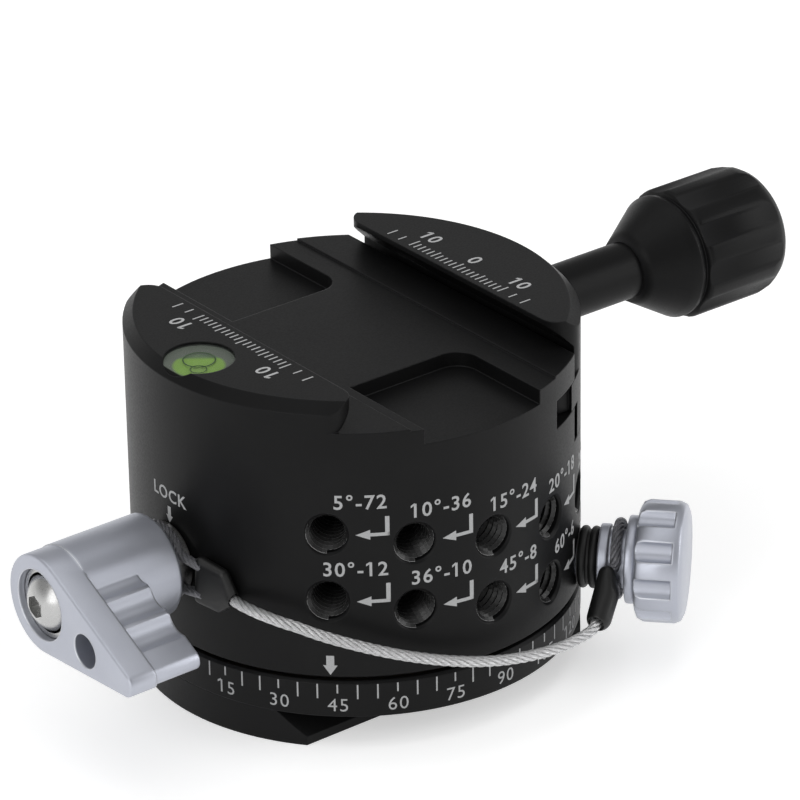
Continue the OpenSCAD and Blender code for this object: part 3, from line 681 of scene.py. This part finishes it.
# ---------------------------------------------------------------- plunger
def plunger(look):
    """the barrel with its ring, rope groove and collar, two soft black ridges and the lobed knob"""
    place = outward(PLUNGER_Z, PLUNGER_A)
    barrel = turned([(PIN_BORE_R, TIP_AT), (THREAD_R, TIP_AT), (THREAD_R, SEAT_AT), (BODY_R, SEAT_AT),
                     (BODY_R, RING_AT), (RING_R - 0.1, RING_AT), (RING_R, RING_AT + 0.15),
                     (RING_R, NECK_AT - 0.15), (RING_R - 0.1, NECK_AT), (NECK_R, NECK_AT),
                     (NECK_R, COLLAR_AT), (COLLAR_R - 0.1, COLLAR_AT), (COLLAR_R, COLLAR_AT + 0.2),
                     (COLLAR_R, KNOB_AT - 0.3), (COLLAR_R - 0.1, KNOB_AT - 0.1),
                     (KNOB_BORE_R, KNOB_AT - 0.1), (KNOB_BORE_R, BORE_END), (SPRING_BORE_R, BORE_END),
                     (SPRING_BORE_R, TIP_WALL), (PIN_BORE_R, TIP_WALL)])
    set_in("collared_barrel", barrel, place, look["silver"], "plunger", "silver_aluminium", "plunger_barrel")
    humps = [(r, t) for middle in RIDGES_AT for t, r in arc((middle, RIDGE_R), RIDGE_ROUND, 10, 170, 16)]
    inner, groove = BODY_R + 0.05, BODY_R + 0.3
    ridges = turned([(inner, SEAT_AT), (inner, RING_AT - 0.02), (groove, RING_AT - 0.02)] + humps
                    + [(groove, SEAT_AT)])
    set_in("soft_ridges", ridges, place, look["ridges"], "plunger", "black_plastic", "plunger_ridges")
    knob = turned([(0, KNOB_AT), (KNOB_R - KNOB_ROUND, KNOB_AT), (KNOB_R - 0.4, KNOB_AT + 0.35),
                   (KNOB_R, KNOB_AT + KNOB_ROUND), (KNOB_R, KNOB_END - KNOB_ROUND),
                   (KNOB_R - 0.4, KNOB_END - 0.35), (KNOB_R - KNOB_ROUND, KNOB_END), (0, KNOB_END)])
    aside = KNOB_R - LOBE_DEPTH + LOBE_R
    between = [(i + 0.5) * 360 / LOBES for i in range(LOBES)]
    gaps = [rod(LOBE_R, KNOB_AT - 1, LOBE_END, (aside * cos(radians(a)), aside * sin(radians(a))))
            for a in between]
    set_in("lobed_knob", carved(knob, removed=gaps), place, look["silver"], "plunger", "silver_aluminium",
           "plunger_knob")


# ---------------------------------------------------------------- printing
def plate(bm, outline):
    """a thin flat mark with the given outline, in millimetres"""
    pulled_up(bm, outline, INK_FOOT, INK_TOP)


def bar(bm, x0, x1, y0, y1):
    """a thin flat mark between these sides"""
    plate(bm, [(x0, y0), (x1, y0), (x1, y1), (x0, y1)])


def letters(bm, text, height, x, y, weight=0.012):
    """numerals and words, centred on x and y; height is a numeral's"""
    tall = 0.73        # a numeral's height in the font's own units
    data = bpy.data.curves.new("letters", "FONT")
    data.size = 1.0
    data.offset = weight
    data.extrude = 0.02
    data.resolution_u = 3
    data.space_character = 1.12
    ends = []
    for k in range(len(text)):
        data.body = text[:k + 1]
        mesh = as_mesh(bpy.data.objects.new("letters", data))
        ends.append(max(v.co.x for v in mesh.vertices))
    fresh = bmesh.new()
    fresh.from_mesh(mesh)
    for digit, end in zip(text, ends):
        if digit == "1":        # the font's own is a bare stroke, so it gets a flag
            flag = end - 0.09
            plate(fresh, [(flag, tall), (flag - 0.18, 0.61), (flag - 0.18, 0.5), (flag, 0.62)])
    size = height / tall
    for v in fresh.verts:
        deep = INK_TOP if v.co.z > 0 else INK_FOOT
        v.co = ((v.co.x - ends[-1] / 2) * size + x, (v.co.y - tall / 2) * size + y, deep)
    merge(bm, fresh)


def merge(bm, marks):
    """adds one drawing to another"""
    mesh = bpy.data.meshes.new("marks")
    marks.to_mesh(mesh)
    marks.free()
    bm.from_mesh(mesh)
    bpy.data.meshes.remove(mesh)


def wrap(bm, marks, angle, z):
    """bends a flat drawing round the wall, its origin at this angle and height"""
    low = min(v.co.x for v in marks.verts)
    high = max(v.co.x for v in marks.verts)
    x = ceil(low)
    while x < high:
        bmesh.ops.bisect_plane(marks, geom=marks.verts[:] + marks.edges[:] + marks.faces[:],
                               plane_co=(x, 0, 0), plane_no=(1, 0, 0), dist=1e-5)
        x += 0.8
    for v in marks.verts:
        a = radians(angle) + v.co.x / WALL_R
        r = (WALL_R + v.co.z) * MM
        v.co = (r * cos(a), r * sin(a), (z + v.co.y) * MM)
    merge(bm, marks)


def pointer(bm, x, y_top, y_tip, stem, head):
    """an arrow that points down"""
    neck = y_tip + head * 0.75
    bar(bm, x - stem / 2, x + stem / 2, neck, y_top)
    plate(bm, [(x, y_tip), (x + head / 2, neck), (x - head / 2, neck)])


def dial_marks(look):
    """a line every five degrees and a number every fifteen"""
    zero_at, scale_top = -177.5, 10.0
    bm = bmesh.new()
    for degree in range(0, 360, 5):
        numbered = degree % 15 == 0
        marks = bmesh.new()
        bar(marks, -LINE_HALF, LINE_HALF, -1.4 if numbered else -2.3, -0.05)
        if numbered:
            letters(marks, str(degree), 2.1, 0, -3.2, weight=-0.004)
        wrap(bm, marks, zero_at + degree, scale_top)
    piece("dial_marks", bm, look["ink"], "base")


def head_marks(look):
    """steps and counts beside the index holes, each with an arrow to its hole, and the lock's word"""
    bm = bmesh.new()
    upper = ["5°-72", "10°-36", "15°-24", "20°-18", "24°-15"]
    lower = ["30°-12", "36°-10", "45°-8", "60°-6", "90°-4"]
    right, stem, tip, barb = 8.65, 8.05, 4.0, 6.0
    for row, names in ((UPPER_ROW, upper), (LOWER_ROW, lower)):
        for column, z, name in zip(HOLE_COLUMNS, row, names):
            marks = bmesh.new()
            letters(marks, name, 2.2, right - 0.8 * len(name), 5.05)
            bar(marks, stem, right, -0.25, 2.7)
            bar(marks, barb - 0.1, right, -0.25, 0.25)
            plate(marks, [(tip, 0), (barb, -0.75), (barb, 0.75)])
            wrap(bm, marks, column, z)
    marks = bmesh.new()
    pointer(marks, 0, 14.5, 11.5, 1.1, 2.0)
    wrap(bm, marks, -134.1, 0)
    marks = bmesh.new()
    letters(marks, "LOCK", 1.95, -0.35, 33.4)
    pointer(marks, -0.3, 31.5, 29.0, 0.7, 1.5)
    wrap(bm, marks, 180, 0)
    piece("head_marks", bm, look["ink"], "head")


def jaw_marks(name, side, numerals, look, body):
    """millimetre lines on top of a jaw, from its lip outward, and its numerals, given as (place, text)"""
    lines_at, numerals_at = 18.1, 22.2
    bm = bmesh.new()
    for y in [*range(-10, 11), -12.5, -15, 12.5, 15]:
        long = 2.0 if y % 10 == 0 else 1.85 if y % 5 == 0 else 1.5
        bar(bm, lines_at, lines_at + long, y - LINE_HALF, y + LINE_HALF)
    for y, text in numerals:
        fresh = bmesh.new()
        letters(fresh, text, 2.4, 0, 0)
        bmesh.ops.rotate(fresh, verts=fresh.verts, cent=(0, 0, 0),
                         matrix=Matrix.Rotation(radians(-90), 3, "Z"))
        bmesh.ops.translate(fresh, verts=fresh.verts, vec=(numerals_at, y, 0))
        merge(bm, fresh)
    for v in bm.verts:
        v.co = (side * v.co.x * MM, side * v.co.y * MM, (JAW_TOP + v.co.z) * MM)
    piece(name, bm, look["ink"], body)


# ---------------------------------------------------------------- threads
def index_threads(look):
    """the M6 thread in each open index hole"""
    pitch, turns, cuts, crest, root, half, inner_end = 1.0, 9, 24, 2.48, 2.93, 0.46, 22.4
    one = bmesh.new()
    ridge = [one.verts.new(p) for p in ((root, 0, -half), (crest, 0, 0), (root, 0, half))]
    edges = [one.edges.new((ridge[i], ridge[(i + 1) % 3])) for i in range(3)]
    bmesh.ops.spin(one, geom=ridge + edges, cent=(0, 0, 0), axis=(0, 0, 1), dvec=(0, 0, pitch / cuts),
                   angle=2 * pi * turns, steps=turns * cuts, use_duplicate=False)
    bmesh.ops.holes_fill(one, edges=one.edges, sides=3)
    bmesh.ops.translate(one, vec=(0, 0, inner_end), verts=one.verts)
    bm = bmesh.new()
    for row in (UPPER_ROW, LOWER_ROW):
        for column, z in zip(HOLE_COLUMNS, row):
            if row is LOWER_ROW and column == HOLE_COLUMNS[-1]:
                continue
            fresh = one.copy()
            bmesh.ops.transform(fresh, matrix=outward(z, radians(column)), verts=fresh.verts)
            merge(bm, fresh)
    one.free()
    piece("index_hole_threads", bm, look["thread"], "head")


# ---------------------------------------------------------------- level
def round_level(look):
    """the level set just below the jaw's top: its green body, the clear window, the ring and the bubble"""
    place = Matrix.Scale(MM, 4)
    bevelled = [(0, 0), (WALL_R, 0), (WALL_R, JAW_TOP - WALL_BEVEL), (WALL_R - WALL_BEVEL, JAW_TOP),
                (0, JAW_TOP)]
    body = rod(LEVEL_R + 0.03, LEVEL_FLOOR, LEVEL_TOP - WINDOW_T - 0.01, LEVEL_AT, 96)
    set_in("level_body", carved(body, kept=[turned(bevelled, 192)]), place, look["liquid"], "head",
           "green_fluid", "level_cup", "level_fluid")
    window = rod(LEVEL_R, LEVEL_TOP - WINDOW_T, LEVEL_TOP, LEVEL_AT, 96)
    set_in("level_window", carved(window, kept=[turned(bevelled, 192)]), place, look["clear"], "head",
           "clear_plastic", "level_lens")
    rings = {"level_ring": (LEVEL_AT, 2.14, 2.32), "bubble_rim": (BUBBLE_AT, 1.08, 1.2)}
    for name, (centre, inner, outer) in rings.items():
        ring = turned([(inner, 0), (outer, 0), (outer, 0.03), (inner, 0.03)], 64)
        bmesh.ops.translate(ring, vec=(*centre, LEVEL_TOP - 0.01), verts=ring.verts)
        set_in(name, ring, place, look["ring"], "head", "green_fluid")
    bubble = bmesh.new()
    bmesh.ops.create_uvsphere(bubble, u_segments=32, v_segments=16, radius=BUBBLE_R)
    flat = Matrix.Translation((*BUBBLE_AT, LEVEL_TOP - WINDOW_T)) @ Matrix.Diagonal((1, 1, 0.14, 1))
    bmesh.ops.transform(bubble, verts=bubble.verts, matrix=flat)
    set_in("level_bubble", bubble, place, look["clear"], "head", "clear_plastic")


# ---------------------------------------------------------------- studio
def soft_light(name, place, size, power):
    """a large lamp aimed at the head"""
    lamp = bpy.data.lights.new(name, "AREA")
    lamp.shape = "RECTANGLE"
    lamp.size, lamp.size_y = size
    lamp.energy = power
    thing = bpy.data.objects.new(name, lamp)
    thing.location = place
    thing.rotation_euler = (Vector((0, 0, 0.03)) - Vector(place)).to_track_quat("-Z", "Y").to_euler()
    scene.collection.objects.link(thing)


def seen_rays(tree):
    """1 for rays that come from the camera, a gloss or glass"""
    rays = node(tree, "LightPath").outputs
    both = result(tree, "MAXIMUM", rays["Is Camera Ray"], rays["Is Glossy Ray"])
    return result(tree, "MAXIMUM", both, rays["Is Transmission Ray"])


def white_room():
    """a plain light all round; what is seen of it is white, and glosses see it darker overhead"""
    world = bpy.data.worlds.new("white_room")
    scene.world = world
    world.use_nodes = True
    tree = world.node_tree
    sky = tree.nodes["Background"]
    sky.inputs["Color"].default_value = (1, 1, 1, 1)
    upward = node(tree, "SeparateXYZ", {0: node(tree, "TexCoord").outputs["Generated"]}).outputs["Z"]
    glossy = node(tree, "LightPath").outputs["Is Glossy Ray"]
    overhead = result(tree, "MULTIPLY", spread(tree, upward, 0.0, 0.62, 0.1, 0.4), glossy)
    seen = spread(tree, seen_rays(tree), 0.42, 1.0, 0.0, 1.0)
    tree.links.new(result(tree, "SUBTRACT", seen, overhead), sky.inputs["Strength"])


def white_floor():
    """a white floor that keeps the head's shadow"""
    material, tree, bsdf = blank("white_floor")
    tone = mixed(tree, spread(tree, grain(tree, 30, 2.0), 0.0, 1.0), (0.86, 0.86, 0.86), (0.88, 0.88, 0.88))
    tree.links.new(tone, bsdf.inputs["Base Color"])
    bsdf.inputs["Roughness"].default_value = 0.9
    bsdf.inputs["Specular IOR Level"].default_value = 0.0
    bsdf.inputs["Emission Color"].default_value = (1, 1, 1, 1)
    tree.links.new(spread(tree, seen_rays(tree), 0.0, 0.47, 0.0, 1.0), bsdf.inputs["Emission Strength"])
    bm = bmesh.new()
    bmesh.ops.create_grid(bm, x_segments=2, y_segments=2, size=3.0,
                          matrix=Matrix.Translation((0, 0, -0.00005)))
    floor = held("white_floor", bm)
    floor.data.materials.append(material)
    scene.collection.objects.link(floor)


def studio():
    """a white sweep under large soft lights"""
    white_room()
    white_floor()
    soft_light("top_light", (-0.1, 0.1, 0.9), (0.9, 0.9), 2.0)
    soft_light("left_light", (-0.9, -0.35, 0.5), (0.6, 0.8), 2.8)
    soft_light("right_light", (0.75, -0.6, 0.45), (0.5, 0.8), 2.8)
    scene.view_settings.view_transform = "Standard"


photo_camera()
look = finishes()
lanyard(look)
springs(look)
short_grip(look)
lever(look)
plunger(look)
dress_frame(look)
dial_marks(look)
head_marks(look)
jaw_marks("moving_jaw_marks", 1, [(-10, "10"), (0, "0"), (10, "10")], look, "jaw")
jaw_marks("fixed_jaw_marks", -1, [(-10, "10"), (10, "10")], look, "head")
index_threads(look)
round_level(look)
studio()
